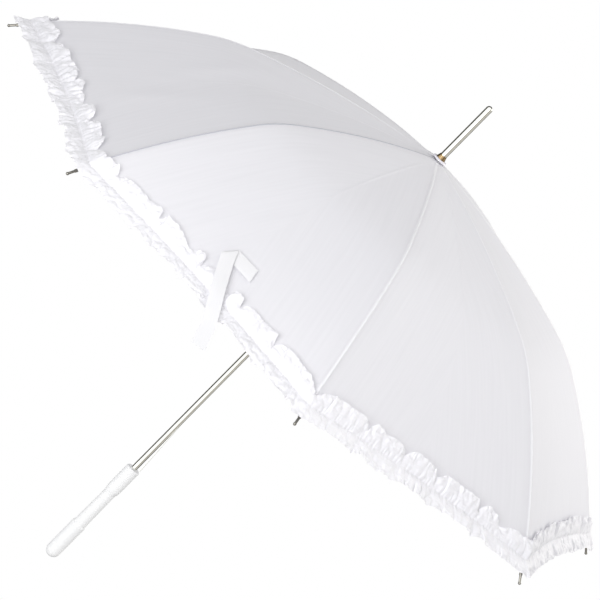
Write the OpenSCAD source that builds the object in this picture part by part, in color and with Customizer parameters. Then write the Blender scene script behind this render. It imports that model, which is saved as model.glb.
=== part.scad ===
/* [Canopy] */
// Length of one rib along its curve, from the axis to the tip
rib_length = 585; // [560:1:600]
// Slope of the rib at the top of the canopy, in degrees
slope_top = 6.8; // [6:0.1:8]
// Slope of the rib at the tip, in degrees
slope_tip = 47.6; // [45:0.1:50]
// Inward sag of each panel between its ribs, as a share of the radius
panel_sag = 0.015; // [0:0.005:0.05]
// How far the hem curves in between two ribs
hem_curve = 9; // [0:1:15]
// Width of the gathered ruffle along the hem
ruffle_w = 42; // [24:1:46]
// Thickness that the gathers of the ruffle fill
ruffle_t = 8.6; // [5:0.1:12]

/* [Shaft and handle] */
// Outer diameter of the steel tube
shaft_d = 8; // [8:0.1:8.2]
// Wall of the steel tube
shaft_wall = 0.6; // [0.5:0.1:0.7]
// Height of the canopy's top above the foot of the handle
apex_z = 739; // [736:1:760]
// Length of the handle
handle_length = 167; // [150:1:168]
// Length of the spike above the canopy
spike_length = 95; // [80:1:110]

/* [Folding frame] */
// Place of the stretcher joint along the rib, as a share of its length
joint_share = 0.45; // [0.44:0.01:0.46]
// Length of one stretcher between its two pivots
stretcher_length = 262; // [258:1:266]
// Radius of the ring of rib pivots in the top notch
notch_pivot_r = 9; // [9:0.1:9.3]
// Radius of the ring of stretcher pivots in the runner
runner_pivot_r = 11; // [11:0.1:11.3]

/* [Hidden] */
ribs = 8;
step_angle = 360 / ribs;
circle_fn = 64;
arc_fn = 360;
eps = 0.01;
shaft_r = shaft_d / 2;
tube_fit = 0.04;

// The rib's curve: three arcs, with the sharper bend at the stretcher joint
bend_start = 0.47;
bend_end = 0.57;
slope_before = 18.1;
slope_after = 32.7;
arc_from = [0, bend_start, bend_end];
arc_to = [bend_start, bend_end, 1];
arc_slope_in = [slope_top, slope_before, slope_after];
arc_slope_out = [slope_before, slope_after, slope_tip];

function arc_r(i) = (arc_to[i] - arc_from[i]) * rib_length * 180 / PI / (arc_slope_out[i] - arc_slope_in[i]);
function turned(r, p, p0) = [r * (sin(p) - sin(p0)), r * (cos(p) - cos(p0))];
function arc_start(i) = i == 0
    ? [0, 0]
    : arc_start(i - 1) + turned(arc_r(i - 1), arc_slope_out[i - 1], arc_slope_in[i - 1]);
function arc_of(s) = s < bend_start * rib_length ? 0 : s < bend_end * rib_length ? 1 : 2;
function slope_in_arc(s, i) = arc_slope_in[i] + (s - arc_from[i] * rib_length) / arc_r(i) * 180 / PI;
function slope(s) = slope_in_arc(s, arc_of(s));
function on_curve(s) = arc_start(arc_of(s)) + turned(arc_r(arc_of(s)), slope(s), arc_slope_in[arc_of(s)]);
// Radius and height below the canopy's top, a distance off the cloth's outer face
function off_curve(s, off) = on_curve(s) + off * [sin(slope(s)), cos(slope(s))];

// Layers, measured outward from the cloth's outer face
cloth_t = 0.8;
rib_gap = 1.2;
rib_depth = 2.6;
rib_width = 3.2;
rib_wall = 0.6;
rib_top = -(cloth_t + rib_gap);
rib_mid = rib_top - rib_depth / 2;
tip_length = 14;
rib_start = 16;
hem_inset = 20;
ruffle_overhang = 12;
ruffle_lift = 0.4;
cloth_start_r = 5.2;
cloth_gap = 0.15;
canopy_rows = 26;
canopy_cols = 8;
ruffle_rows = 3;
ruffle_cols = 12;

// The tie strap, as distance along its rib and share of the way to the rib before
strap_rib = 7;
strap_w = 18;
strap_t = 1;
strap_lift = ruffle_t + ruffle_lift + 0.6;
strap_top = [466, -0.5];
strap_foot = [596, -0.355];
strap_rows = 8;
strap_cols = 2;

// The handle: its grip ends in a tenon inside the rounded end piece
end_top = 62;
tenon_h = 14;
tenon_r = 7.4;
grip_foot_r = 9.1;
grip_waist_r = 8.3;
shaft_foot = 24;

// The pivots, as radius and height below the canopy's top
notch_pivot = [notch_pivot_r, -6.6];
joint_drop = 3;
joint_s = joint_share * rib_length;
joint_pivot = off_curve(joint_s, rib_mid - rib_depth / 2 - joint_drop);
stretcher_run = joint_pivot[0] - runner_pivot_r;
stretcher_rise = sqrt(pow(stretcher_length, 2) - pow(stretcher_run, 2));
runner_pivot = [runner_pivot_r, joint_pivot[1] - stretcher_rise];
stretcher_tilt = atan2(stretcher_rise, stretcher_run);

eye_t = 1.2;
eye_r = 1.7;
wire_r = 0.6;
wire_bore_r = 0.68;
rivet_r = 1;
rivet_bore_r = 1.05;
lug_t = 1;
lug_r = 2.6;
fork_t = 0.8;
fork_gap = 0.3;
stretcher_depth = 2.6;
stretcher_w = 2 * (lug_t / 2 + fork_gap + fork_t);

crown_slot = 2;
crown_h = 7;
groove_h = 1.5;
runner_crown_r = 13.4;
runner_wire_ring_r = runner_pivot_r - 1.5;
runner_sleeve_r = 8.2;
runner_sleeve_h = 58;
runner_bore_r = shaft_r + 0.15;
keyway_w = 2.2;
keyway_r = 6.9;

// The catches: leaves that turn on a pin in the tube, with a nose that springs out of a slot
catch_turn = -step_angle / 2;
catch_t = 1.2;
catch_leaf_t = 0.9;
catch_root_r = 1.2;
catch_eye_r = 1.4;
catch_pin_r = 0.6;
catch_bore_r = 0.65;
catch_slot_w = 1.8;
catch_slot_room = 1.4;
upper_nose_r = 6.6;
upper_leaf = 32;
lower_nose_r = 8.6;
lower_leaf = 92;
runner_bottom_z = apex_z + runner_pivot[1] - crown_h / 2 - runner_sleeve_h;
catch_room = 0.4;
upper_catch_z = runner_bottom_z - catch_room - upper_leaf;
lower_catch_z = handle_length + 3 + lower_leaf;
stop_pin_r = 1;
stop_pin_length = 13;
stop_pin_z = apex_z + runner_pivot[1] + crown_h / 2 + stop_pin_r + catch_room;

// Puts a piece drawn in the plane of the first rib at rib number k, with z = 0 at the canopy's top
module at_rib(k) {
    translate([0, 0, apex_z])
        rotate([0, 0, step_angle * (k - 1)])
            children();
}

// A cylinder lying across the rib's plane, centred on a point of that plane
module cross_cylinder(point, r, width) {
    translate([point[0], 0, point[1]])
        rotate([90, 0, 0])
            cylinder(r = r, h = width, center = true, $fn = circle_fn);
}

// ---------- the fixed column ----------

// A slot through the tube's wall, with room at both ends of the catch
module catch_slot(z, length) {
    rotate([0, 0, catch_turn])
        translate([0, -catch_slot_w / 2, z - catch_slot_room])
            cube([shaft_r + 1, catch_slot_w, length + 2 * catch_slot_room]);
}

module catch_pins() {
    pin_length = shaft_d - 0.8;
    color("silver")
        for (z = [upper_catch_z, lower_catch_z])
            rotate([0, 0, catch_turn])
                translate([catch_root_r, 0, z])
                    rotate([90, 0, 0])
                        cylinder(r = catch_pin_r, h = pin_length, center = true, $fn = 32);
}

module shaft() {
    shaft_top = apex_z + 40;
    color("silver")
        difference() {
            translate([0, 0, shaft_foot])
                cylinder(r = shaft_r, h = shaft_top - shaft_foot, $fn = circle_fn);
            translate([0, 0, shaft_foot - 1])
                cylinder(r = shaft_r - shaft_wall, h = shaft_top - shaft_foot + 2, $fn = circle_fn);
            catch_slot(upper_catch_z - catch_eye_r, upper_leaf + catch_eye_r);
            catch_slot(lower_catch_z - lower_leaf, lower_leaf + catch_eye_r);
            catch_pins();
            translate([0, 0, stop_pin_z])
                rotate([90, 0, 0])
                    cylinder(r = stop_pin_r, h = 4 * shaft_r, center = true, $fn = circle_fn);
        }
}

module spike() {
    spike_r = 4.6;
    spike_base = 9;
    bore_top = spike_length - 9;
    color("silver")
        translate([0, 0, apex_z])
            difference() {
                union() {
                    translate([0, 0, spike_base])
                        cylinder(r = spike_r, h = spike_length - spike_base - spike_r, $fn = circle_fn);
                    translate([0, 0, spike_length - spike_r])
                        sphere(r = spike_r, $fn = circle_fn);
                }
                translate([0, 0, spike_base - 1])
                    cylinder(r = shaft_r + tube_fit, h = bore_top - spike_base + 1, $fn = circle_fn);
            }
}

module spike_collar() {
    collar_z = 3.2;
    collar_h = 5.6;
    collar_foot_r = 6.6;
    collar_top_r = 5;
    color("peru")
        translate([0, 0, apex_z + collar_z])
            difference() {
                cylinder(r1 = collar_foot_r, r2 = collar_top_r, h = collar_h, $fn = circle_fn);
                translate([0, 0, -1])
                    cylinder(r = shaft_r + tube_fit, h = collar_h + 2, $fn = circle_fn);
            }
}

module canopy_washer() {
    washer_z = 0.8;
    washer_h = 2.2;
    washer_foot_r = 11;
    washer_top_r = 9.5;
    color("white")
        translate([0, 0, apex_z + washer_z])
            difference() {
                cylinder(r1 = washer_foot_r, r2 = washer_top_r, h = washer_h, $fn = circle_fn);
                translate([0, 0, -1])
                    cylinder(r = shaft_r + tube_fit, h = washer_h + 2, $fn = circle_fn);
            }
}

// A slotted disc with a groove round it for the wire that the slotted ends turn on
module crown(core_r, outer_r, wire_ring_r) {
    difference() {
        cylinder(r = outer_r, h = crown_h, center = true, $fn = circle_fn);
        for (k = [1 : ribs])
            rotate([0, 0, step_angle * (k - 1)])
                translate([core_r, -crown_slot / 2, -crown_h])
                    cube([outer_r, crown_slot, 2 * crown_h]);
        difference() {
            cylinder(r = outer_r + 1, h = groove_h, center = true, $fn = circle_fn);
            cylinder(r = wire_ring_r - groove_h / 2, h = groove_h + 1, center = true, $fn = circle_fn);
        }
    }
}

module wire_ring(ring_r) {
    rotate_extrude($fn = circle_fn)
        translate([ring_r, 0])
            circle(r = wire_r, $fn = 32);
}

module top_notch() {
    core_r = 6.4;
    notch_r = 12;
    color("white")
        translate([0, 0, apex_z + notch_pivot[1]])
            difference() {
                crown(core_r, notch_r, notch_pivot[0]);
                cylinder(r = shaft_r + tube_fit, h = 2 * crown_h, center = true, $fn = circle_fn);
            }
}

module notch_wire() {
    color("silver")
        translate([0, 0, apex_z + notch_pivot[1]])
            wire_ring(notch_pivot[0]);
}

module stop_pin() {
    color("silver")
        translate([0, 0, stop_pin_z])
            rotate([90, 0, 0])
                cylinder(r = stop_pin_r, h = stop_pin_length, center = true, $fn = circle_fn);
}

module handle_grip() {
    shoulder_z = handle_length - 42;
    shoulder_below = 5;
    shoulder_above = 3;
    grip_r = 10;
    rim = 1.2;
    color("white")
        difference() {
            rotate_extrude($fn = circle_fn)
                polygon([
                    [0, end_top - tenon_h], [tenon_r, end_top - tenon_h],
                    [tenon_r, end_top + eps], [grip_foot_r, end_top + eps],
                    [grip_waist_r, shoulder_z - shoulder_below], [grip_r, shoulder_z + shoulder_above],
                    [grip_r, handle_length - rim], [grip_r - rim, handle_length], [0, handle_length]
                ]);
            cylinder(r = shaft_r + tube_fit, h = handle_length + 1, $fn = circle_fn);
        }
}

module handle_end() {
    end_r = 10.3;
    rim_h = 2.5;
    rim_in = 1.1;
    fit = 0.05;
    color("white")
        difference() {
            union() {
                translate([0, 0, end_r])
                    sphere(r = end_r, $fn = circle_fn);
                translate([0, 0, end_r])
                    cylinder(r = end_r, h = end_top - end_r - rim_h, $fn = circle_fn);
                translate([0, 0, end_top - rim_h])
                    cylinder(r1 = end_r, r2 = end_r - rim_in, h = rim_h, $fn = circle_fn);
            }
            translate([0, 0, end_top - tenon_h - fit])
                cylinder(r = tenon_r + fit, h = tenon_h + 1, $fn = circle_fn);
            translate([0, 0, shaft_foot - fit])
                cylinder(r = shaft_r + tube_fit, h = end_top, $fn = circle_fn);
        }
}

// A flat leaf that turns on its pin at z = 0, with its nose at the far end
module catch_leaf(nose_r, length) {
    leaf_out = shaft_r - 0.1;
    flush_z = 5;
    nose_h = 3;
    difference() {
        rotate([90, 0, 0])
            union() {
                translate([catch_root_r, 0, 0])
                    cylinder(r = catch_eye_r, h = catch_t, center = true, $fn = 32);
                linear_extrude(catch_t, center = true)
                    polygon([
                        [catch_root_r, -catch_eye_r / 2], [leaf_out, flush_z], [nose_r, length - nose_h],
                        [nose_r, length], [nose_r - catch_leaf_t, length],
                        [leaf_out - catch_leaf_t, flush_z + 1], [catch_root_r, catch_eye_r]
                    ]);
            }
        translate([catch_root_r, 0, 0])
            rotate([90, 0, 0])
                cylinder(r = catch_bore_r, h = 2 * catch_t, center = true, $fn = 32);
    }
}

module upper_catch() {
    color("silver")
        rotate([0, 0, catch_turn])
            translate([0, 0, upper_catch_z])
                catch_leaf(upper_nose_r, upper_leaf);
}

module lower_catch() {
    color("silver")
        rotate([0, 0, catch_turn])
            translate([0, 0, lower_catch_z])
                mirror([0, 0, 1])
                    catch_leaf(lower_nose_r, lower_leaf);
}

// ---------- the runner ----------

module runner() {
    foot_flange = 1.2;
    foot_flange_h = 5;
    slot_top = -crown_h / 2 - 1.5;
    past = 2 * runner_sleeve_h;
    color("white")
        translate([0, 0, apex_z + runner_pivot[1]])
            difference() {
                union() {
                    crown(runner_sleeve_r, runner_crown_r, runner_wire_ring_r);
                    translate([0, 0, -crown_h / 2 - runner_sleeve_h])
                        cylinder(r = runner_sleeve_r, h = runner_sleeve_h + eps, $fn = circle_fn);
                    translate([0, 0, -crown_h / 2 - runner_sleeve_h])
                        cylinder(r = runner_sleeve_r + foot_flange, h = foot_flange_h, $fn = circle_fn);
                }
                cylinder(r = runner_bore_r, h = 4 * runner_sleeve_h, center = true, $fn = circle_fn);
                // the keyway that passes the catches: a groove in the crown, a slot in the sleeve
                rotate([0, 0, catch_turn])
                    rotate([90, 0, 0])
                        linear_extrude(height = keyway_w, center = true)
                            polygon([
                                [1, -past], [2 * runner_sleeve_r, -past], [2 * runner_sleeve_r, slot_top],
                                [keyway_r, slot_top], [keyway_r, past], [1, past]
                            ]);
            }
}

module runner_wire() {
    color("silver")
        translate([0, 0, apex_z + runner_pivot[1]])
            wire_ring(runner_wire_ring_r);
}

// ---------- ribs and stretchers ----------

// One arc of the rib: a channel, open on the side that faces the shaft
module rib_arc(i, s_from, s_to) {
    r = arc_r(i);
    p0 = slope_in_arc(s_from, i);
    p1 = slope_in_arc(s_to, i);
    centre = arc_start(i) - r * [sin(arc_slope_in[i]), cos(arc_slope_in[i])];
    translate([centre[0], 0, centre[1]])
        rotate([90, 0, 0])
            rotate([0, 0, 90 - p1])
                rotate_extrude(angle = p1 - p0, $fn = arc_fn)
                    difference() {
                        translate([r + rib_top - rib_depth, -rib_width / 2])
                            square([rib_depth, rib_width]);
                        translate([r + rib_top - rib_depth - 1, -rib_width / 2 + rib_wall])
                            square([rib_depth + 1 - rib_wall, rib_width - 2 * rib_wall]);
                    }
}

// The flattened end of the rib, with its eye round the notch's wire
module rib_eye() {
    tab_h = 1.8;
    tab_reach = 3;
    tab_fit = 0.1;
    channel_end = off_curve(rib_start + tab_reach, rib_mid);
    reach = channel_end - notch_pivot;
    difference() {
        union() {
            cross_cylinder(notch_pivot, eye_r, eye_t);
            translate([notch_pivot[0], -eye_t / 2, notch_pivot[1]])
                rotate([0, -atan2(reach[1], reach[0]), 0])
                    translate([0, 0, -tab_h / 2])
                        cube([norm(reach), eye_t, tab_h]);
            translate([channel_end[0] - tab_reach + 1, -rib_width / 2 + tab_fit, channel_end[1] - tab_h / 2])
                cube([tab_reach, rib_width - 2 * tab_fit, tab_h]);
        }
        cross_cylinder(notch_pivot, wire_bore_r, 2 * eye_t);
    }
}

// The lug under the channel that the stretcher's rivet passes through
module rib_lug() {
    into_channel = rib_depth - 0.4;
    difference() {
        union() {
            cross_cylinder(joint_pivot, lug_r, lug_t);
            translate([joint_pivot[0], 0, joint_pivot[1]])
                rotate([0, slope(joint_s), 0])
                    translate([-lug_r, -lug_t / 2, 0])
                        cube([2 * lug_r, lug_t, joint_drop + into_channel]);
        }
        cross_cylinder(joint_pivot, rivet_bore_r, 2 * lug_t);
    }
}

module rib(k) {
    color("gainsboro")
        at_rib(k)
            union() {
                rib_arc(0, rib_start, bend_start * rib_length);
                rib_arc(1, bend_start * rib_length, bend_end * rib_length);
                rib_arc(2, bend_end * rib_length, rib_length - tip_length);
                rib_eye();
                rib_lug();
            }
}

module rib_tip(k) {
    ball_r = 1.9;
    sleeve_r = 1.5;
    shoulder_r = 2;
    shoulder_h = 2.5;
    start = off_curve(rib_length - tip_length, rib_mid);
    color("silver")
        at_rib(k)
            translate([start[0], 0, start[1]])
                rotate([0, 90 + slope(rib_length - tip_length), 0])
                    union() {
                        cylinder(r = shoulder_r, h = shoulder_h, $fn = circle_fn);
                        cylinder(r = sleeve_r, h = tip_length - ball_r, $fn = circle_fn);
                        translate([0, 0, tip_length - ball_r])
                            sphere(r = ball_r, $fn = circle_fn);
                    }
}

module stretcher(k) {
    fork_length = 12;
    end_length = 14;
    end_stop = 0.6;
    end_r = 1;
    rivet_length = stretcher_w + 1.2;
    channel_wall = 0.6;
    channel_inset = 4;
    channel_w = stretcher_w - 2 * channel_wall;
    channel_h = 0.3 + stretcher_depth;
    bar = stretcher_length - fork_length - end_length;
    color("gainsboro")
        at_rib(k)
            translate([joint_pivot[0], 0, joint_pivot[1]])
                rotate([0, 180 - stretcher_tilt, 0])
                    difference() {
                        union() {
                            // the bar, then its flat end in the runner's slot
                            translate([fork_length, -stretcher_w / 2, -stretcher_depth / 2])
                                cube([bar, stretcher_w, stretcher_depth]);
                            translate([fork_length, -eye_t / 2, -end_r])
                                cube([stretcher_length - fork_length - end_stop - end_r, eye_t, 2 * end_r]);
                            translate([stretcher_length - end_stop - end_r, 0, 0])
                                rotate([90, 0, 0])
                                    cylinder(r = end_r, h = eye_t, center = true, $fn = circle_fn);
                            // the fork and its rivet
                            for (side = [-1, 1])
                                translate([0, side * (lug_t / 2 + fork_gap + fork_t / 2), 0])
                                    union() {
                                        rotate([90, 0, 0])
                                            cylinder(r = lug_r, h = fork_t, center = true, $fn = circle_fn);
                                        translate([0, -fork_t / 2, -stretcher_depth / 2])
                                            cube([fork_length + eps, fork_t, stretcher_depth]);
                                    }
                            rotate([90, 0, 0])
                                cylinder(r = rivet_r, h = rivet_length, center = true, $fn = circle_fn);
                        }
                        // the channel along the bar's lower side
                        translate([fork_length + channel_inset, -channel_w / 2, -stretcher_depth])
                            cube([bar - 2 * channel_inset, channel_w, channel_h]);
                    }
}

// ---------- cloth ----------

// A point of the cloth: s along the rib, t from the rib (0) towards the next one (1 or -1), off outward
function cloth_point(s, t, off) =
    let (
        u = abs(t),
        turn = step_angle * sign(t),
        c = on_curve(s),
        p = slope(s),
        x = c[0] * (1 - u + u * cos(turn)),
        y = c[0] * u * sin(turn),
        lift = off - panel_sag * c[0] * 4 * u * (1 - u),
        across = atan2(y, x)
    )
    [
        x + lift * sin(p) * cos(across),
        y + lift * sin(p) * sin(across),
        c[1] + lift * cos(p)
    ];

// Edge of the gore: halfway to the next rib, less half of the gap between two gores
function half_gore(s) = 0.5 - cloth_gap / (2 * on_curve(s)[0] * sin(step_angle / 2));
function hem_s(t) = rib_length - hem_inset - hem_curve * 4 * abs(t) * (1 - abs(t));

// A closed sheet: rows of points along s, columns across, with an outer and an inner face
module cloth_sheet(rows, cols, s_at, t_at, outer, inner) {
    row = cols + 1;
    face_size = (rows + 1) * row;
    points = [
        for (off = [outer, inner])
            for (i = [0 : rows])
                for (j = [0 : cols])
                    cloth_point(s_at(i / rows, t_at(i / rows, j / cols)), t_at(i / rows, j / cols), off)
    ];
    top = [
        for (i = [0 : rows - 1])
            for (j = [0 : cols - 1])
                for (f = [[0, 1, row + 1], [0, row + 1, row]])
                    [for (v = f) v + i * row + j]
    ];
    rim = concat(
        [for (j = [0 : cols]) j],
        [for (i = [1 : rows]) i * row + cols],
        [for (j = [1 : cols]) rows * row + cols - j],
        [for (i = [1 : rows - 1]) (rows - i) * row]
    );
    n = len(rim);
    polyhedron(points, concat(
        top,
        [for (f = top) [f[0] + face_size, f[2] + face_size, f[1] + face_size]],
        [for (m = [0 : n - 1]) [rim[(m + 1) % n], rim[m], rim[m] + face_size]],
        [for (m = [0 : n - 1]) [rim[(m + 1) % n], rim[m] + face_size, rim[(m + 1) % n] + face_size]]
    ));
}

module canopy(k) {
    s_start = cloth_start_r / cos(slope_top);
    s_at = function (v, t) s_start + v * (hem_s(t) - s_start);
    t_at = function (v, w) (2 * w - 1) * half_gore(s_start + v * (hem_s(0.5) - s_start));
    color("white")
        at_rib(k)
            cloth_sheet(canopy_rows, canopy_cols, s_at, t_at, 0, -cloth_t);
}

module ruffle(k) {
    s_at = function (v, t) hem_s(t) + ruffle_overhang - (1 - v) * ruffle_w;
    t_at = function (v, w) (2 * w - 1) * half_gore(rib_length - 2 * ruffle_w);
    color("snow")
        at_rib(k)
            cloth_sheet(ruffle_rows, ruffle_cols, s_at, t_at, ruffle_t + ruffle_lift, ruffle_lift);
}

// The tie strap: a flat tail that starts halfway between two ribs and hangs over the ruffle
module tie_strap() {
    share = strap_w / (2 * on_curve(strap_top[0])[0] * sin(step_angle / 2));
    s_at = function (v, t) strap_top[0] + v * (strap_foot[0] - strap_top[0]);
    t_at = function (v, w) strap_top[1] + v * (strap_foot[1] - strap_top[1]) + (w - 0.5) * share;
    color("snow")
        at_rib(strap_rib)
            cloth_sheet(strap_rows, strap_cols, s_at, t_at, strap_lift + strap_t, strap_lift);
}

shaft();
spike();
spike_collar();
canopy_washer();
top_notch();
notch_wire();
stop_pin();
catch_pins();
handle_grip();
handle_end();
runner();
runner_wire();
upper_catch();
lower_catch();
tie_strap();
rib(1);  // rib_1
rib(2);  // rib_2
rib(3);  // rib_3
rib(4);  // rib_4
rib(5);  // rib_5
rib(6);  // rib_6
rib(7);  // rib_7
rib(8);  // rib_8
rib_tip(1);  // rib_tip_1
rib_tip(2);  // rib_tip_2
rib_tip(3);  // rib_tip_3
rib_tip(4);  // rib_tip_4
rib_tip(5);  // rib_tip_5
rib_tip(6);  // rib_tip_6
rib_tip(7);  // rib_tip_7
rib_tip(8);  // rib_tip_8
stretcher(1);  // stretcher_1
stretcher(2);  // stretcher_2
stretcher(3);  // stretcher_3
stretcher(4);  // stretcher_4
stretcher(5);  // stretcher_5
stretcher(6);  // stretcher_6
stretcher(7);  // stretcher_7
stretcher(8);  // stretcher_8
canopy(1);  // canopy_1
canopy(2);  // canopy_2
canopy(3);  // canopy_3
canopy(4);  // canopy_4
canopy(5);  // canopy_5
canopy(6);  // canopy_6
canopy(7);  // canopy_7
canopy(8);  // canopy_8
ruffle(1);  // ruffle_1
ruffle(2);  // ruffle_2
ruffle(3);  // ruffle_3
ruffle(4);  // ruffle_4
ruffle(5);  // ruffle_5
ruffle(6);  // ruffle_6
ruffle(7);  // ruffle_7
ruffle(8);  // ruffle_8
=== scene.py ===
"""White ruffled parasol, open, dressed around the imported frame.

Metres throughout, in the frame's own axes: the shaft is the Z axis and rib k lies at (k - 1) * 45 degrees.
"""
import math

import bpy
import numpy as np
from mathutils import Matrix, Vector, noise


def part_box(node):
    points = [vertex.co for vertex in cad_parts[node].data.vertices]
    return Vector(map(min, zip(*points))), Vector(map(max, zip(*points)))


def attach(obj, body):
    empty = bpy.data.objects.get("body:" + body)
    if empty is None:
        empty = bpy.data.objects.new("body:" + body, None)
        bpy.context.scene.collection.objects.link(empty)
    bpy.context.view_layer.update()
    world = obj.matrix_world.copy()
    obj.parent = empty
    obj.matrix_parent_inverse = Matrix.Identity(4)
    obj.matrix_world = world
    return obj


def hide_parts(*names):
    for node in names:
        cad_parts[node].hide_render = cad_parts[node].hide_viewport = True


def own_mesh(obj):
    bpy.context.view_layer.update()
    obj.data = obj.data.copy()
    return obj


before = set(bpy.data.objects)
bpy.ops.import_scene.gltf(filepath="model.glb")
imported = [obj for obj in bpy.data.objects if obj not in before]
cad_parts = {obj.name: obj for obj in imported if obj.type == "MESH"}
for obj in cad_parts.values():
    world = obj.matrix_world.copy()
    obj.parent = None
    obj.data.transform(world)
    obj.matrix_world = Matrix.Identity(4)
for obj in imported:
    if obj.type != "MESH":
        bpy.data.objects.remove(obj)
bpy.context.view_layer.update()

# ---------------------------------------------------------------- sizes

MM = 0.001
RIBS = 8
STEP = 2 * math.pi / RIBS
RIB_LENGTH = 585 * MM
# The rib's three arcs: where each starts and ends, as a share of the rib, and its slope there in degrees
ARCS = [(0.0, 0.47, 6.8, 18.1), (0.47, 0.57, 18.1, 32.7), (0.57, 1.0, 32.7, 47.6)]
APEX_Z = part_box("canopy_washer")[0].z - 0.8 * MM
PANEL_SAG = 0.015  # depth of a panel's middle below the line between its ribs, as a share of the radius
HEM_INSET = 20 * MM  # from the rib's end to the hem
HEM_CURVE = 9 * MM  # how much nearer to the top the hem is between two ribs
CLOTH_START = 5.3 * MM
CHORD = 2 * math.sin(STEP / 2)  # width of a panel as a share of its radius
RUFFLE_WIDTH = 42 * MM
RUFFLE_OVERHANG = 12 * MM
HELD = 0.25  # share of the small unevenness left where cloth is held by a rib or by stitches


def rib_curve(s):
    """Radius, height below the canopy's top and slope in radians, a distance s along the rib."""
    s = np.asarray(s, float)
    radius, drop, slope = np.zeros_like(s), np.zeros_like(s), np.zeros_like(s)
    r0 = z0 = 0.0
    for first, last, slope_in, slope_out in ARCS:
        a, b = math.radians(slope_in), math.radians(slope_out)
        bend = (last - first) * RIB_LENGTH / (b - a)
        here = s >= first * RIB_LENGTH
        p = a + (s[here] - first * RIB_LENGTH) / bend
        radius[here] = r0 + bend * (np.sin(p) - math.sin(a))
        drop[here] = z0 + bend * (np.cos(p) - math.cos(a))
        slope[here] = p
        r0 += bend * (math.sin(b) - math.sin(a))
        z0 += bend * (math.cos(b) - math.cos(a))
    return radius, drop, slope


def hem(t):
    """Distance along the cloth to the hem, at a share t of the way to the next rib."""
    u = np.abs(t)
    return RIB_LENGTH - HEM_INSET - HEM_CURVE * 4 * u * (1 - u)


def cloth(k, s, t, off):
    """Points of the canopy: s along rib k, t from it (0) towards its neighbours (1 and -1), off outward."""
    s, t, off = np.broadcast_arrays(s, t, off)
    radius, drop, slope = rib_curve(s)
    u = np.abs(t)
    turn = STEP * np.sign(t)
    x = radius * (1 - u + u * np.cos(turn))
    y = radius * u * np.sin(turn)
    lift = off - PANEL_SAG * radius * 4 * u * (1 - u)
    across = np.arctan2(y, x)
    x = x + lift * np.sin(slope) * np.cos(across)
    y = y + lift * np.sin(slope) * np.sin(across)
    c, d = math.cos(STEP * (k - 1)), math.sin(STEP * (k - 1))
    return np.stack([c * x - d * y, d * x + c * y, APEX_Z + drop + lift * np.cos(slope)], -1)


def smooth(x, low, high):
    """0 below low, 1 above high, and a smooth step between them."""
    y = np.clip((x - low) / (high - low), 0, 1)
    return y * y * (3 - 2 * y)


def ridge(x, at, width):
    """1 where x is at the given place, and falling to nothing over the width on both sides."""
    return np.exp(-(((x - at) / width) ** 2))


def noise_at(points, scale, shift=(0, 0, 0)):
    """Smooth noise, about -1 to 1, at each point. Its bumps are about 1 / scale apart."""
    shift = Vector(shift)
    return np.array([noise.noise(Vector(p) * scale + shift) for p in points])


def wander(q, strength, low, high, count, seed):
    """A wave about as high as its strength, of count parts that go from low to high times round the rim.

    The place q is in panels, and the wave meets itself after all of them.
    """
    draw = np.random.default_rng(seed)
    turns = draw.integers(low, high + 1, count)
    starts = draw.uniform(0, 2 * math.pi, count)
    parts = sum(np.sin(2 * math.pi * n * q / RIBS + a) for n, a in zip(turns, starts))
    return strength * (parts / math.sqrt(count))


# ---------------------------------------------------------------- materials

WEAVE_BUMP = 0.2
WEAVE_DEPTH = 0.04 * MM
STREAK_RELIEF = 0.8  # height of the warp's streaks beside that of the threads
SHEEN_ROUGHNESS = 0.4
FIBRE_IOR = 1.4

TARNISH_SCALE = 90
DRAWN_STRETCH = 60
DRAWN_ROUGHNESS = 0.06
DRAWN_BUMP = 0.05
DRAWN_DEPTH = 0.02 * MM

MOULD_CLOUDS = (60, 60, 25)
SKIN_ROUGHNESS = 0.12
SKIN_BUMP = 0.15
SKIN_DEPTH = 0.05 * MM
SCATTER_DEPTH = 3 * MM


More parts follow.
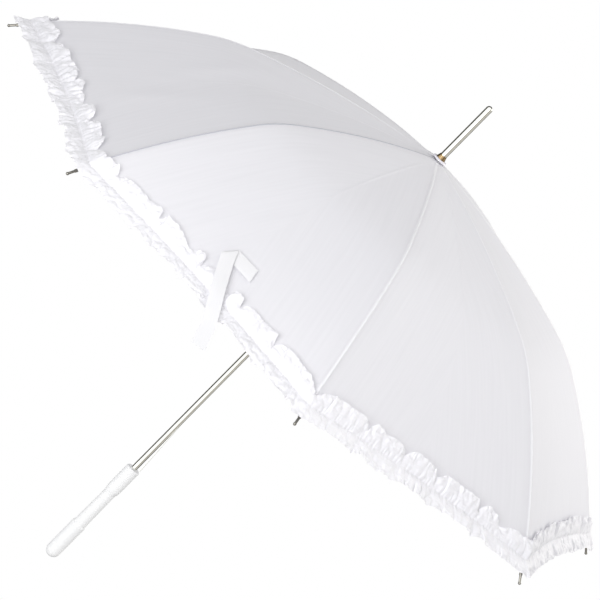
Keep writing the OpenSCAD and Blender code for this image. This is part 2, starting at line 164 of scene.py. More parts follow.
class Nodes:
    """The node tree of a material or a world, with short calls for what is made below."""

    def __init__(self, owner, output="ShaderNodeOutputMaterial"):
        self.owner = owner
        owner.use_nodes = True
        self.tree = owner.node_tree
        self.tree.nodes.clear()
        self.output = self.add(output)

    def add(self, kind, **values):
        node = self.tree.nodes.new(kind)
        for name, value in values.items():
            setattr(node, name, value)
        return node

    def link(self, source, target):
        self.tree.links.new(source, target)

    def feed(self, value, socket):
        """The socket takes the value, or is linked to it where it is the output of a node."""
        if isinstance(value, bpy.types.NodeSocket):
            self.link(value, socket)
        else:
            socket.default_value = value

    def set(self, node, **values):
        for name, value in values.items():
            node.inputs[name.replace("_", " ")].default_value = value
        return node

    def place(self, kind, scale):
        """Coordinates of that kind, stretched by scale."""
        source = self.add("ShaderNodeTexCoord")
        mapping = self.add("ShaderNodeMapping")
        mapping.inputs["Scale"].default_value = scale
        self.link(source.outputs[kind], mapping.inputs["Vector"])
        return mapping.outputs["Vector"]

    def noise(self, where, scale, detail):
        node = self.set(self.add("ShaderNodeTexNoise"), Scale=scale, Detail=detail)
        self.link(where, node.inputs["Vector"])
        return node.outputs["Fac"]

    def wave(self, where, scale, direction):
        node = self.add("ShaderNodeTexWave", bands_direction=direction, wave_profile="SIN")
        self.set(node, Scale=scale, Distortion=0.0)
        self.link(where, node.inputs["Vector"])
        return node.outputs["Fac"]

    def math(self, operation, a, b):
        node = self.add("ShaderNodeMath", operation=operation)
        self.feed(a, node.inputs[0])
        self.feed(b, node.inputs[1])
        return node.outputs["Value"]

    def ramp(self, factor, low, high, start=0.3, end=0.7):
        """Colour from low to high as factor goes from start to end."""
        node = self.add("ShaderNodeValToRGB")
        node.color_ramp.elements[0].position = start
        node.color_ramp.elements[1].position = end
        node.color_ramp.elements[0].color = (*low, 1)
        node.color_ramp.elements[1].color = (*high, 1)
        self.link(factor, node.inputs["Fac"])
        return node.outputs["Color"]

    def bump(self, height, strength, distance):
        node = self.set(self.add("ShaderNodeBump"), Strength=strength, Distance=distance)
        self.link(height, node.inputs["Height"])
        return node.outputs["Normal"]

    def principled(self, colour, roughness, normal, **values):
        node = self.set(self.add("ShaderNodeBsdfPrincipled"), **values)
        self.link(colour, node.inputs["Base Color"])
        self.feed(roughness, node.inputs["Roughness"])
        self.link(normal, node.inputs["Normal"])
        return node

    def mix(self, factor, first, second):
        """The first shader where the factor is 0, and the second where it is 1."""
        node = self.add("ShaderNodeMixShader")
        self.feed(factor, node.inputs["Fac"])
        self.link(first, node.inputs[1])
        self.link(second, node.inputs[2])
        return node.outputs["Shader"]

    def finish(self, shader):
        """The shader becomes the surface of the material or world, which is returned."""
        self.link(shader, self.output.inputs["Surface"])
        return self.owner


def thin_cloth(name, low, high, roughness, through, thread, streak, sheen, gloss=0.5):
    """A woven sheet with threads both ways and faint streaks, in colours from low to high.

    It passes a share of the light, which is given by through, to its other side.
    """
    n = Nodes(bpy.data.materials.new(name))
    fine = n.place("UV", (1, 1, 1))
    long = n.place("UV", streak)
    streaks = n.noise(long, 1.0, detail=2.0)
    colour = n.ramp(streaks, low, high)
    weave = n.math("ADD", n.wave(fine, thread, "X"), n.wave(fine, thread, "Y"))
    height = n.math("ADD", weave, n.math("MULTIPLY", streaks, STREAK_RELIEF))
    normal = n.bump(height, WEAVE_BUMP, WEAVE_DEPTH)
    face = n.principled(
        colour, roughness, normal, Sheen_Weight=sheen, Sheen_Roughness=SHEEN_ROUGHNESS, IOR=FIBRE_IOR
    )
    face.inputs["Specular IOR Level"].default_value = gloss
    back = n.add("ShaderNodeBsdfTranslucent")
    n.link(colour, back.inputs["Color"])
    n.link(normal, back.inputs["Normal"])
    return n.finish(n.mix(through, face.outputs["BSDF"], back.outputs["BSDF"]))


def metal(name, dark, light, roughness, grain):
    """Polished or brushed metal, with fine drawn lines along Z and cloudy tarnish."""
    n = Nodes(bpy.data.materials.new(name))
    lines = n.noise(n.place("Object", (grain, grain, grain / DRAWN_STRETCH)), 1.0, detail=2.0)
    clouds = n.noise(n.place("Object", (TARNISH_SCALE, TARNISH_SCALE, TARNISH_SCALE)), 1.0, detail=4.0)
    colour = n.ramp(clouds, dark, light)
    rough = n.math("ADD", n.math("MULTIPLY", lines, DRAWN_ROUGHNESS), roughness)
    face = n.principled(colour, rough, n.bump(lines, DRAWN_BUMP, DRAWN_DEPTH), Metallic=1.0)
    return n.finish(face.outputs["BSDF"])


def plastic(name, low, high, roughness, skin, depth):
    """Moulded plastic with a faintly uneven skin. A share of its light, given by depth, scatters inside."""
    n = Nodes(bpy.data.materials.new(name))
    clouds = n.noise(n.place("Object", MOULD_CLOUDS), 1.0, detail=3.0)
    pores = n.noise(n.place("Object", (1, 1, 1)), skin, detail=2.0)
    colour = n.ramp(clouds, low, high)
    rough = n.math("ADD", n.math("MULTIPLY", pores, SKIN_ROUGHNESS), roughness)
    face = n.principled(colour, rough, n.bump(pores, SKIN_BUMP, SKIN_DEPTH), Subsurface_Weight=depth)
    face.inputs["Subsurface Radius"].default_value = (1.0, 1.0, 1.0)
    face.inputs["Subsurface Scale"].default_value = SCATTER_DEPTH
    return n.finish(face.outputs["BSDF"])


CLOTH = thin_cloth(
    "white_cloth",
    low=(0.815, 0.81, 0.845),
    high=(0.835, 0.83, 0.865),
    roughness=0.6,
    through=0.3,
    thread=300,
    streak=(260, 9, 1),
    sheen=0.15,
)
DOUBLED = thin_cloth(
    "doubled_cloth",
    low=(0.85, 0.845, 0.875),
    high=(0.87, 0.865, 0.895),
    roughness=0.55,
    through=0.15,
    thread=300,
    streak=(260, 9, 1),
    sheen=0.2,
)
SATIN = thin_cloth(
    "white_satin",
    low=(0.83, 0.825, 0.86),
    high=(0.87, 0.865, 0.895),
    roughness=0.5,
    through=0.15,
    thread=350,
    streak=(40, 600, 1),
    sheen=0.8,
    gloss=0.25,
)
# Painted shade: a darker cloth that stands for the shadow line along the flat seam
SEAM_SHADOW_CLOTH = thin_cloth(
    "painted_seam_shadow",
    low=(0.50, 0.50, 0.56),
    high=(0.54, 0.54, 0.60),
    roughness=0.6,
    through=0.1,
    thread=300,
    streak=(260, 9, 1),
    sheen=0.1,
)
TAPE = thin_cloth(
    "white_tape",
    low=(0.78, 0.78, 0.80),
    high=(0.80, 0.80, 0.815),
    roughness=0.45,
    through=0.12,
    thread=350,
    streak=(900, 40, 1),
    sheen=0.3,
)
STEEL = metal("polished_steel", (0.74, 0.74, 0.70), (0.82, 0.82, 0.78), roughness=0.09, grain=3000)
GALVANISED = metal("galvanised_steel", (0.50, 0.51, 0.52), (0.62, 0.63, 0.64), roughness=0.28, grain=2500)
DULL_STEEL = metal("dull_steel", (0.20, 0.19, 0.17), (0.32, 0.31, 0.28), roughness=0.34, grain=1500)
BRASS = metal("brown_brass", (0.26, 0.17, 0.08), (0.42, 0.31, 0.17), roughness=0.25, grain=1500)
WHITE_PLASTIC = plastic(
    "white_plastic", (0.73, 0.715, 0.78), (0.77, 0.755, 0.82), roughness=0.40, skin=60, depth=0.05
)
FROSTED = plastic(
    "frosted_plastic", (0.83, 0.835, 0.84), (0.85, 0.85, 0.85), roughness=0.6, skin=40, depth=0.0
)


# ---------------------------------------------------------------- meshes


def sheet_mesh(name, points, uv, materials, zones=None):
    """A grid of points, rows by columns, as a smooth sheet whose UVs are its flat place in metres.

    The zones say, for each cell of the grid, which of the materials it has.
    """
    rows, cols = points.shape[:2]
    index = np.arange(rows * cols).reshape(rows, cols)
    faces = np.stack([index[:-1, :-1], index[1:, :-1], index[1:, 1:], index[:-1, 1:]], -1).reshape(-1, 4)
    mesh = bpy.data.meshes.new(name)
    mesh.from_pydata(points.reshape(-1, 3).tolist(), [], faces.tolist())
    layer = mesh.uv_layers.new(name="flat")
    corner = np.empty(len(mesh.loops), int)
    mesh.loops.foreach_get("vertex_index", corner)
    layer.data.foreach_set("uv", uv.reshape(-1, 2)[corner].ravel())
    mesh.shade_smooth()
    for material in materials:
        mesh.materials.append(material)
    if zones is not None:
        mesh.polygons.foreach_set("material_index", zones.ravel())
    thing = bpy.data.objects.new(name, mesh)
    bpy.context.scene.collection.objects.link(thing)
    return thing


def fold_away(piece, k):
    """The piece rides on rib k, on a mesh of its own."""
    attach(piece, f"rib_{k}")
    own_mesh(piece)


# ---------------------------------------------------------------- canopy

# Columns of a gore's grid, by their distance from the seam and from the crease, and even ones between
SEAM_STOPS = np.array([0, 0.45, 0.9, 1.5, 2.2, 3.1, 4.3, 6.0]) * MM
CREASE_STOPS = np.array([6.0, 3.5, 2.2, 1.2, 0.6, 0]) * MM
OPEN_STEPS = 30
CANOPY_ROWS = 150
FULL_STOPS_FROM = 34 * MM  # half panels narrower than this have their stops drawn together

# The seam, across from its rib: a lap that rises gently on one side and ends in a step on the other,
# with a dip past the step and a stitched groove at the rib
SEAM_HEIGHT = 1.0 * MM
LAP_RISE = (-4.5 * MM, -1.0 * MM)
LAP_STEP = (0, 1.3 * MM)
DIP_DEPTH = 0.25 * MM
DIP_AT = 1.6 * MM
DIP_WIDTH = 0.7 * MM
STITCH_DEPTH = 0.8 * MM
STITCH_WIDTH = 0.5 * MM
# One seam is pressed flatter than the rest, and a painted shadow line runs along it
FLAT_SEAM = 6
FLAT_SEAM_SHARE = 0.2

PUCKER_HEIGHT = 0.10 * MM
PUCKER_PITCH = 13 * MM
PUCKER_WIDTH = 9 * MM
# The panel's middle: flat on both sides of a kink near the top, and rounder further down
KINK_SHARE = 0.95
KINK_FADE = 0.8
KINK_SPAN = (0.12, 0.42)
CREASE_HEIGHT = 0.42 * MM
CREASE_WIDTH = 1.3 * MM
CREASE_FADE = 0.85
CREASE_SPAN = (0.18, 0.42)
TOP_SPAN = (25 * MM, 90 * MM)  # where the relief begins, below the washer
UNEVEN_SPAN = (30 * MM, 120 * MM)
RIB_SPAN = (0.02, 0.2)  # share of a panel beside the rib over which the rib's hold fades

# Material of each cell of a gore: one layer, two layers as in the seam's allowance and the hem, or a
# darker strip beside the flat seam that paints its shadow line
GORE_MATERIALS = (CLOTH, DOUBLED, SEAM_SHADOW_CLOTH)
TWO_LAYERS, PAINTED_SHADOW_ZONE = 1, 2
SEAM_WIDTH = 3.4 * MM
SHADOW_LINE_WIDTH = 1.5 * MM
HEM_FOLD = 8 * MM
# The turned hem in millimetres: how far back up the cloth it lies, and how far under it
HEM_STOPS = [(-0.5, 0.5), (0, 1.0), (HEM_FOLD / 2 / MM, 1.1), (HEM_FOLD / MM, 0.9)]
HEM_UV_STEP = 3 * MM

# Tension folds in metres and radians: panel, distance along the rib, share across the panel, length,
# width, height, turn
FOLDS = [
    (7, 0.215, 0.90, 0.070, 0.008, 0.0012, 0.50),
    (7, 0.245, 0.86, 0.080, 0.009, 0.0012, 0.55),
    (7, 0.280, 0.88, 0.060, 0.008, 0.0010, 0.60),
    (7, 0.500, 0.93, 0.130, 0.007, 0.0011, 0.03),
    (7, 0.490, 0.89, 0.150, 0.008, 0.0012, 0.02),
    (7, 0.500, 0.85, 0.110, 0.008, 0.0009, -0.02),
    (7, 0.380, 0.80, 0.080, 0.010, 0.0009, 0.35),
    (6, 0.480, 0.90, 0.120, 0.010, 0.0008, -0.05),
    (6, 0.250, 0.80, 0.090, 0.012, 0.0009, 0.45),
    (6, 0.400, 0.30, 0.120, 0.014, 0.0009, -0.30),
    (5, 0.330, 0.35, 0.150, 0.016, 0.0011, 0.25),
    (5, 0.450, 0.60, 0.140, 0.016, 0.0010, -0.20),
    (8, 0.480, 0.12, 0.120, 0.009, 0.0010, -0.03),
    (1, 0.490, 0.90, 0.130, 0.010, 0.0010, 0.04),
    (1, 0.300, 0.40, 0.120, 0.014, 0.0010, 0.30),
    (2, 0.490, 0.10, 0.120, 0.010, 0.0010, -0.05),
    (2, 0.350, 0.60, 0.130, 0.014, 0.0010, 0.20),
    (3, 0.480, 0.88, 0.130, 0.010, 0.0010, 0.05),
    (4, 0.490, 0.12, 0.120, 0.010, 0.0010, -0.04),
    (4, 0.380, 0.55, 0.140, 0.015, 0.0010, -0.25),
]


def folds_of(panel, s, share, width):
    """Height of the tension folds of one panel."""
    height = np.zeros_like(s)
    for at, along, across, length, breadth, rise, turn in FOLDS:
        if at != panel:
            continue
        ds = s - along
        dx = (share - across) * width
        down = ds * math.cos(turn) + dx * math.sin(turn)
        side = dx * math.cos(turn) - ds * math.sin(turn)
        height += rise * np.exp(-((down / (length / 2)) ** 2) - (side / breadth) ** 2)
    return height


def canopy_relief(k, s, t):
    """Height of the cloth above its plain curve: seam, puckers, crease and tension folds."""
    radius = rib_curve(s)[0]
    width = CHORD * radius
    u = np.abs(t)
    across = t * width
    lap = smooth(across, *LAP_RISE) * (1 - smooth(across, *LAP_STEP))
    seam_height = SEAM_HEIGHT * (FLAT_SEAM_SHARE if k == FLAT_SEAM else 1.0)
    seam = seam_height * lap - DIP_DEPTH * ridge(across, DIP_AT, DIP_WIDTH)
    seam -= STITCH_DEPTH * ridge(across, 0, STITCH_WIDTH)
    pucker = PUCKER_HEIGHT * np.sin(2 * math.pi * s / PUCKER_PITCH + 2.0 * k)
    pucker *= ridge(u * width, 0, PUCKER_WIDTH)
    kink = (KINK_SHARE - KINK_FADE * smooth(s, *KINK_SPAN)) * PANEL_SAG * radius * 2 * u * (1 - 2 * u)
    crease = CREASE_HEIGHT * ridge((0.5 - u) * width, 0, CREASE_WIDTH)
    crease *= 1 - CREASE_FADE * smooth(s, *CREASE_SPAN)
    panel_right, panel_left = k, (k - 2) % RIBS + 1
    folds = np.where(t >= 0, folds_of(panel_right, s, u, width), folds_of(panel_left, s, 1 - u, width))
    return smooth(s, *TOP_SPAN) * (seam + pucker + kink + crease) + folds


def unevenness(points):
    """Soft unevenness of stretched cloth, the same on both sides of a join."""
    return (0.9 * noise_at(points, 8) + 0.3 * noise_at(points, 21, (5, 1, 2))) * MM


def canopy_height(k, s, t):
    """Height of the finished cloth above its plain curve, held level past the hem."""
    s = np.minimum(s, hem(t))
    s, t = np.broadcast_arrays(s, t)
    plain = cloth(k, s, t, 0)
    uneven = unevenness(plain.reshape(-1, 3)).reshape(s.shape) * smooth(s, *UNEVEN_SPAN)
    free = HELD + (1 - HELD) * smooth(np.abs(t), *RIB_SPAN)
    return canopy_relief(k, s, t) + uneven * free


def gore_grid():
    """Distance along the rib and share across to the next one, at each point of a gore's grid."""
    v = np.linspace(0, 1, CANOPY_ROWS + 1)[:, None]
    s_mid = CLOTH_START + v * (hem(0.5) - CLOTH_START)
    half = CHORD * rib_curve(s_mid)[0] / 2
    scale = np.minimum(1, half / FULL_STOPS_FROM)
    near = SEAM_STOPS[None, :] * scale
    far = half - CREASE_STOPS[None, :] * scale
    ease = np.linspace(0, 1, OPEN_STEPS + 1)[None, 1:-1]
    x = np.concatenate([near, near[:, -1:] * (1 - ease) + far[:, :1] * ease, far], 1)
    x = np.concatenate([-x[:, :0:-1], x], 1)
    t = 0.5 * x / half
    return CLOTH_START + v * (hem(t) - CLOTH_START), t


def gore_zones(k, uv):
    """Which of a gore's materials each cell has, by its flat place."""
    middle = (uv[1:, 1:, 0] + uv[:-1, :-1, 0]) / 2
    down = (uv[1:, 1:, 1] + uv[:-1, :-1, 1]) / 2
    zones = np.zeros(middle.shape, int)
    zones[down > hem(0.5) - HEM_FOLD] = TWO_LAYERS
    # On the flat seam a narrow strip gets the darker cloth, a painted shadow line
    width, zone = (SHADOW_LINE_WIDTH, PAINTED_SHADOW_ZONE) if k == FLAT_SEAM else (SEAM_WIDTH, TWO_LAYERS)
    zones[(middle > -width) & (middle < 0)] = zone
    return zones


def canopy_gore(k):
    """The cloth that rib k carries: half a panel on each side of it, with its hem turned in."""
    s, t = gore_grid()
    relief = canopy_height(k, s, t)
    points = cloth(k, s, t, relief)
    uv = np.stack([t * CHORD * rib_curve(s)[0], s], -1)
    for back, inward in HEM_STOPS:
        turned = cloth(k, s[-1:] - back * MM, t[-1:], relief[-1:] - inward * MM)
        points = np.concatenate([points, turned])
        uv = np.concatenate([uv, uv[-1:] + (0, HEM_UV_STEP)])
    piece = sheet_mesh(f"canopy_gore_{k}", points, uv, GORE_MATERIALS, gore_zones(k, uv))
    fold_away(piece, k)
    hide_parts(f"canopy_{k}")
    along = np.linspace(CLOTH_START, hem(0.25), 60)
    widths = CHORD * rib_curve(along)[0]


# ---------------------------------------------------------------- ruffle

# How many of each go round the rim
LOBES = 44
UPPER_FLAPS = 92
LOWER_FLAPS = 120
GATHERS = 520
RIPPLES = 330
RUFFLE_COLS = 380
RUFFLE_ROWS = 28
GATHER_FULLNESS = 1.35

# What makes them uneven: a strength, then the least and most turns, the number of parts and the seed
LOBE_WANDER = (2.2, 8, 50, 7, 1)
LEAN_WANDER = (1.5, 10, 90, 6, 4)
GATHER_WANDER = (2.0, 100, 300, 9, 3)
RIPPLE_WANDER = (2.5, 60, 200, 9, 8)
SKEW_WANDER = (0.010, 10, 60, 6, 5)

FLAP_FOLD = 0.24  # share of a flap that its fold takes up
FLAP_OVERLAP = 2.2 * FLAP_FOLD
FLAP_FALL = 1.6  # power by which a flap falls away from its fold
FLAP_SIZES = (0.35, 1.3)
FLAP_TILT = 1.2
FLAP_WANDER = 0.45

# The ruffle above and below its stitched line, in millimetres: its height, with what the lobes and
# the flaps add, how far a flap's fold overlaps, and how far flaps and lobes move the free edge
UPPER_SPAN = (-0.1, 0.15)
UPPER_LIFT, LOWER_LIFT = (1.6, 1.7, 2.1), (1.3, 1.1, 1.9)
UPPER_OVERLAP, LOWER_OVERLAP = 3.0, 2.6
UPPER_EDGE, LOWER_EDGE = (1.8, 4.3), (1.6, 1.6)
EDGE_FADE = 1.3  # power by which the edge's shift fades towards the stitched line
STITCHED_HEIGHT = 0.9
GATHER_HEIGHT = 0.9
GATHER_SPAN = (0.1, 0.5)
GATHER_SHIFT = 0.3
RIPPLE_HEIGHT = 0.4
LOBE_SWING = 2.6
LOBE_LOW = 1.6
LOBE_LEAN = 0.5
LOBE_SLANT = 0.4

CRUMPLE = 2.5 * MM
LEAST_HEIGHT = 0.7 * MM
EDGE_FLARE = 4 * MM
FLARE_SPAN = (0.1, 1.3)


def flaps(q, count, seed):
    """Rise, free edge and overlap of flat pleats of uneven width, each of which starts in a fold."""
    phase = count * q / RIBS + wander(q, FLAP_WANDER, 20, count // 2, 9, seed)
    number = np.floor(phase).astype(int)
    f = phase - number
    number %= count
    draw = np.random.default_rng(seed)
    size = draw.uniform(*FLAP_SIZES, count)
    shift = draw.uniform(-1, 1, count)
    tilt = draw.uniform(-FLAP_TILT, FLAP_TILT, count)
    turn = smooth(f, 0, FLAP_FOLD)
    rise = turn * np.cos(math.pi / 2 * f**FLAP_FALL) * size[number]
    here = shift[number] + tilt[number] * (f - 0.5)
    before = shift[number - 1] + tilt[number - 1] / 2
    edge = before + (here - before) * turn
    overlap = np.sin(math.pi * np.minimum(f / FLAP_OVERLAP, 1)) * size[number]
    return rise, edge, overlap


def ruffle_shape(q, v):
    """Shift along the hem, shift across it and height of the ruffle.

    The place is q panels round the rim and v across the ruffle, from -1 at its upper edge to 1.
    """
    a = np.abs(v)
    upper = smooth(-v, *UPPER_SPAN)
    lobe = 2 * math.pi * LOBES * q / RIBS + wander(q, *LOBE_WANDER)
    bulge = np.abs(np.sin((lobe + LOBE_LEAN * np.sin(lobe)) / 2 + LOBE_SLANT * v))
    lobe_wave = LOBE_SWING * bulge - LOBE_LOW
    lean = wander(q, *LEAN_WANDER)
    gather = 2 * math.pi * GATHERS * q / RIBS + wander(q, *GATHER_WANDER)
    ripple = 2 * math.pi * RIPPLES * q / RIBS + wander(q, *RIPPLE_WANDER)
    fine = np.abs(np.sin(gather / 2)) * (1 - smooth(a, *GATHER_SPAN))
    q_v = q + v * wander(q, *SKEW_WANDER)
    rise_u, edge_u, overlap_u = flaps(q_v, UPPER_FLAPS, 11)
    rise_l, edge_l, overlap_l = flaps(q_v, LOWER_FLAPS, 12)
    full = 1 - (1 - a) ** 3

    def lift(plain, by_lobes, by_flaps, rise):
        return full * (plain + by_lobes * (1 + lobe_wave) + by_flaps * rise)

    height = upper * lift(*UPPER_LIFT, rise_u) + (1 - upper) * lift(*LOWER_LIFT, rise_l)
    height += GATHER_HEIGHT * fine + RIPPLE_HEIGHT * a * np.sin(ripple) + STITCHED_HEIGHT
    overlap = upper * UPPER_OVERLAP * overlap_u + (1 - upper) * LOWER_OVERLAP * overlap_l
    along = a * (lean - overlap) + GATHER_SHIFT * np.cos(gather)
    edge = -upper * (UPPER_EDGE[0] * edge_u + UPPER_EDGE[1] * lobe_wave)
    edge += (1 - upper) * (LOWER_EDGE[0] * edge_l - LOWER_EDGE[1] * lobe_wave)
    across = a**EDGE_FADE * edge
    return along * MM, across * MM, height * MM


def crumple(points):
    """Small creases in every direction, as crushed satin has."""
    large = noise_at(points, 85)
    small = noise_at(points, 180, (3, 8, 1))
    return (2.2 * np.abs(large) + 1.0 * np.abs(small) - 0.7) * CRUMPLE


def ruffle(k):
    """The length of the gathered strip that rib k carries, stitched to the canopy along its middle."""
    t = np.linspace(-0.5, 0.5, RUFFLE_COLS + 1)[None, :]
    v = np.linspace(-1, 1, RUFFLE_ROWS + 1)[:, None]
    along, across, height = ruffle_shape(k - 1 + t, v)
    middle = hem(t) + RUFFLE_OVERHANG - RUFFLE_WIDTH / 2
    s = middle + v * RUFFLE_WIDTH / 2 + across
    width = CHORD * rib_curve(middle)[0]
    shifted = t + along / width
    plain = cloth(k, s, shifted, height)
    crushed = crumple(plain.reshape(-1, 3)).reshape(height.shape) * (HELD + (1 - HELD) * np.abs(v))
    under = canopy_height(k, s, np.clip(shifted, -0.5, 0.5))
    flare = EDGE_FLARE * smooth(v, *FLARE_SPAN)
    points = cloth(k, s, shifted, under + np.maximum(height + crushed, LEAST_HEIGHT) + flare)
    uv = np.stack(np.broadcast_arrays(t * width * GATHER_FULLNESS, v * RUFFLE_WIDTH / 2), -1)
    piece = sheet_mesh(f"ruffle_strip_{k}", points, uv, [SATIN])
    fold_away(piece, k)
    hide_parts(f"ruffle_{k}")


# ---------------------------------------------------------------- tie strap

STRAP_RIB = 7
STRAP_WIDTH = 19.5 * MM
# Middle of the strap on the flat panel, from its lower end up past its fold, in millimetres
# across from the rib and along it, with its height over the cloth
STRAP_STOPS = [
    (-143, 614, 14.0),
    (-146, 600, 12.0),
    (-149, 584, 10.5),
    (-157, 563, 10.0),
    (-165, 543, 9.0),
    (-173, 520, 6.5),
    (-179, 500, 5.0),
    (-184, 478, 4.5),
    (-190, 452, 4.5),
]
STRAP_ROWS = 150
STRAP_COLS = 13
STRAP_CROWN = 0.35  # how much higher its middle is than its edges, in millimetres
# The fold's line on the flat panel, and half the height between the two tails, in millimetres
FOLD_AT = (-177.5, 487.0)
FOLD_ALONG = (0.616, -0.788)
FOLD_THICKNESS = 1.2
FOLD_ROUNDING = 1.2


def through(stops, count):
    """A smooth curve through the stops, as count rows of values."""
    stops = np.array(stops, float)
    at = np.linspace(0, len(stops) - 1, count)
    i = np.clip(at.astype(int), 0, len(stops) - 2)
    f = (at - i)[:, None]
    p0, p1, p2, p3 = (stops[np.clip(i + j, 0, len(stops) - 1)] for j in (-1, 0, 1, 2))
    square = 2 * p0 - 5 * p1 + 4 * p2 - p3
    cube = 3 * p1 - p0 - 3 * p2 + p3
    return 0.5 * (2 * p1 + (p2 - p0) * f + square * f**2 + cube * f**3)


def strap():
    """A flat tape folded over once at its top, so that its two tails hang apart."""
    line = through(STRAP_STOPS, STRAP_ROWS)
    side = np.linspace(-1, 1, STRAP_COLS)[None, :]
    heading = np.gradient(line[:, :2], axis=0)
    heading /= np.linalg.norm(heading, axis=1)[:, None]
    half = STRAP_WIDTH / MM / 2
    x = line[:, :1] + side * half * heading[:, 1:]
    y = line[:, 1:2] - side * half * heading[:, :1]
    # what lies past the fold line is turned back over it, and comes to lie underneath
    past = (x - FOLD_AT[0]) * -FOLD_ALONG[1] + (y - FOLD_AT[1]) * FOLD_ALONG[0]
    turned = np.minimum(past, 0)
    x = x + 2 * turned * FOLD_ALONG[1]
    y = y - 2 * turned * FOLD_ALONG[0]
    crown = STRAP_CROWN * np.cos(math.pi * side / 2)
    height = line[:, 2:] + FOLD_THICKNESS * np.tanh(past / FOLD_ROUNDING) + crown
    s = y * MM
    t = x * MM / (CHORD * rib_curve(s)[0])
    points = cloth(STRAP_RIB, s, t, height * MM)
    length = np.linalg.norm(np.diff(points[:, STRAP_COLS // 2], axis=0), axis=1)
    run = np.concatenate([[0], np.cumsum(length)])[:, None]
    uv = np.stack(np.broadcast_arrays(side * STRAP_WIDTH / 2, run), -1)
    piece = sheet_mesh("tie_strap_tape", points, uv, [TAPE])
    fold_away(piece, STRAP_RIB)
    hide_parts("tie_strap")


# ---------------------------------------------------------------- the frame's own finishes

FINISHES = {
    "shaft": STEEL,
    "spike": STEEL,
    "spike_collar": BRASS,
    "canopy_washer": WHITE_PLASTIC,
    "top_notch": WHITE_PLASTIC,
    "notch_wire": GALVANISED,
    "stop_pin": GALVANISED,
    "catch_pins": GALVANISED,
    "handle_grip": FROSTED,
    "handle_end": FROSTED,
    "runner": WHITE_PLASTIC,
    "runner_wire": GALVANISED,
    "upper_catch": STEEL,
    "lower_catch": STEEL,
    "rib": GALVANISED,
    "rib_tip": DULL_STEEL,
    "stretcher": GALVANISED,
}


def finish_frame():
    """Gives each node of the frame that stays visible its material, by its name or its family's."""
    for name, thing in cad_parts.items():
        family = name.rstrip("12345678").rstrip("_")
        material = FINISHES.get(name) or FINISHES.get(family)
        if material is None:
            continue
        for place in thing.material_slots:
            place.material = material


# ---------------------------------------------------------------- camera, light and floor

CAMERA_DISTANCE = 6.0 * RIB_LENGTH
CAMERA_ELEVATION = math.radians(12.62)
CAMERA_ROLL = math.radians(44.71)
CAMERA_TURN = math.radians(10.387)
CAMERA_SIDE = -0.001 * RIB_LENGTH
CAMERA_DROP = -0.425 * RIB_LENGTH
SENSOR = 36.0
CAMERA_LENS = 166.8
CAMERA_REACH = 50
LIGHT_AIM = Vector((0, 0, APEX_Z - 0.15))
FLOOR_HALF = 12.0

# The world's own light on what isn't polished, from the camera's left to its right
AMBIENT_STRENGTH = 0.60
AMBIENT_LEFT = (0.58, 0.59, 0.61)
AMBIENT_RIGHT = (1.40, 1.39, 1.37)
# What polished metal reflects: dark from behind, dim on one side, with a brighter strip at its end
WINDOW_STRENGTH = 1.35
WINDOW_WHITE = (1, 1, 1)
WINDOW_DARK = (0.07, 0.07, 0.06)
WINDOW_DIM = (0.34, 0.32, 0.29)
WINDOW_STRIP = (0.58, 0.56, 0.52)


def camera_axes():
    """The camera's right, top and back, and its place."""
    c, d = math.cos(CAMERA_TURN), math.sin(CAMERA_TURN)
    e, f = math.cos(CAMERA_ELEVATION), math.sin(CAMERA_ELEVATION)
    level = Vector((c, -d, 0))
    back = Vector((-d * e, -c * e, f))
    up = Vector((d * f, c * f, e))
    right = math.cos(CAMERA_ROLL) * level + math.sin(CAMERA_ROLL) * up
    top = -math.sin(CAMERA_ROLL) * level + math.cos(CAMERA_ROLL) * up
    place = Vector((0, 0, APEX_Z)) + CAMERA_DISTANCE * back + CAMERA_SIDE * level + CAMERA_DROP * up
    return right, top, back, place


RIGHT, TOP, BACK, PLACE = camera_axes()


def look(right, top, back, place):
    """Matrix of something that looks along -back, with its top upward."""
    turn = Matrix((right, top, back)).transposed().to_4x4()
    return Matrix.Translation(place) @ turn


def camera():
    """A long lens from far off, rolled so that the upright object lies as it is seen."""
    data = bpy.data.cameras.new("camera")
    data.sensor_width = SENSOR
    data.lens = CAMERA_LENS
    data.clip_end = CAMERA_REACH
    thing = bpy.data.objects.new("camera", data)
    thing.matrix_world = look(RIGHT, TOP, BACK, PLACE)
    bpy.context.scene.collection.objects.link(thing)
    bpy.context.scene.camera = thing


def softbox(name, side, height, depth, size, power, colour=(1, 1, 1)):
    """An area light aimed at the canopy, placed by the camera's right, top and back."""
    offset = RIGHT * side + TOP * height + BACK * depth
    turn = offset.to_track_quat("Z", "Y").to_matrix().to_4x4()
    data = bpy.data.lights.new(name, "AREA")
    data.shape = "SQUARE"
    data.size = size
    data.energy = power
    data.color = colour
    thing = bpy.data.objects.new(name, data)
    thing.matrix_world = Matrix.Translation(LIGHT_AIM + offset) @ turn
    bpy.context.scene.collection.objects.link(thing)


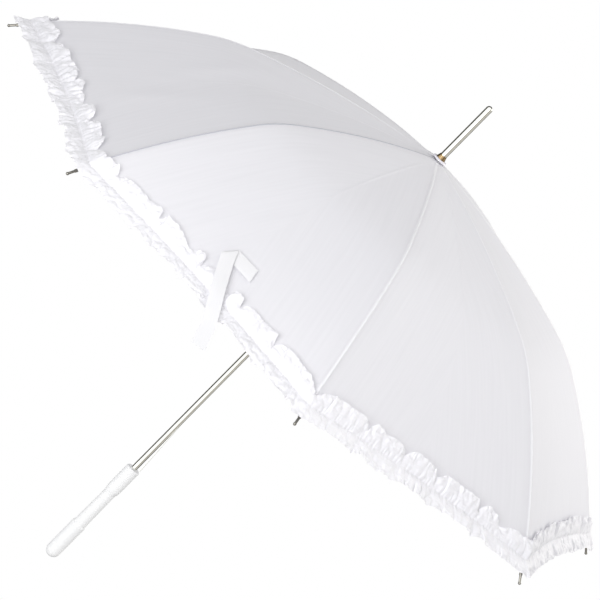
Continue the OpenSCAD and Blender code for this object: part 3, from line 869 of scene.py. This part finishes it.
def backdrop_world():
    """White to the eye, with a softer light of its own, and a lit window that polished metal reflects."""
    n = Nodes(bpy.data.worlds.new("studio"), "ShaderNodeOutputWorld")
    direction = n.add("ShaderNodeTexCoord").outputs["Generated"]

    def towards(axis):
        """0 to 1 as the direction turns from away from the axis to along it."""
        dot = n.add("ShaderNodeVectorMath", operation="DOT_PRODUCT")
        dot.inputs[1].default_value = axis
        n.link(direction, dot.inputs[0])
        return n.math("ADD", n.math("MULTIPLY", dot.outputs["Value"], 0.5), 0.5)

    def pick(blend, first, second):
        node = n.add("ShaderNodeMix", data_type="RGBA", blend_type=blend)
        node.inputs["Factor"].default_value = 1.0
        for name, source in (("A", first), ("B", second)):
            socket = next(each for each in node.inputs if each.name == name and each.type == "RGBA")
            n.link(source, socket)
        return next(each for each in node.outputs if each.type == "RGBA")

    def light(colour, strength):
        node = n.add("ShaderNodeBackground")
        n.feed(strength, node.inputs["Strength"])
        n.feed(colour, node.inputs["Color"])
        return node.outputs["Background"]

    across = (RIGHT - TOP) / math.sqrt(2)
    front = n.ramp(towards(BACK), WINDOW_DARK, WINDOW_WHITE, 0.58, 0.66)
    left = n.ramp(towards(across), WINDOW_WHITE, WINDOW_DIM, 0.74, 0.82)
    side = n.ramp(towards(across), (0, 0, 0), WINDOW_STRIP, 0.92, 0.97)
    window = pick("LIGHTEN", pick("DARKEN", front, left), side)
    path = n.add("ShaderNodeLightPath")
    soft = n.ramp(towards(RIGHT), AMBIENT_LEFT, AMBIENT_RIGHT, 0.0, 1.0)
    ambient = light(soft, AMBIENT_STRENGTH)
    own = n.mix(path.outputs["Is Glossy Ray"], ambient, light(window, WINDOW_STRENGTH))
    seen = light((1, 1, 1, 1), 1.0)
    bpy.context.scene.world = n.finish(n.mix(path.outputs["Is Camera Ray"], own, seen))


def floor():
    """A wide white floor under the handle's foot. It has no underside, so a view from below sees past it."""
    n = Nodes(bpy.data.materials.new("pale_floor"))
    light = n.set(n.add("ShaderNodeEmission"), Color=(1, 1, 1, 1), Strength=1.0)
    clear = n.add("ShaderNodeBsdfTransparent")
    side = n.add("ShaderNodeNewGeometry")
    shader = n.mix(side.outputs["Backfacing"], light.outputs["Emission"], clear.outputs["BSDF"])
    mesh = bpy.data.meshes.new("floor")
    corners = [(x * FLOOR_HALF, y * FLOOR_HALF, 0) for x, y in ((-1, -1), (1, -1), (1, 1), (-1, 1))]
    mesh.from_pydata(corners, [], [(0, 1, 2, 3)])
    mesh.materials.append(n.finish(shader))
    thing = bpy.data.objects.new("floor", mesh)
    bpy.context.scene.collection.objects.link(thing)
    thing.visible_diffuse = False
    thing.visible_glossy = False
    thing.visible_transmission = False
    thing.visible_shadow = False


camera()
backdrop_world()
softbox("key", side=-0.7, height=0.2, depth=2.5, size=1.6, power=46.5)
softbox("right_fill", side=2.2, height=0.0, depth=-1.0, size=1.4, power=33, colour=(1.0, 0.985, 0.95))
softbox("left_fill", side=-2.2, height=-0.3, depth=0.5, size=1.4, power=8)
floor()
scene = bpy.context.scene
scene.view_settings.view_transform = "Standard"
scene.cycles.use_denoising = True

finish_frame()
for number in range(1, RIBS + 1):
    canopy_gore(number)
    ruffle(number)
strap()
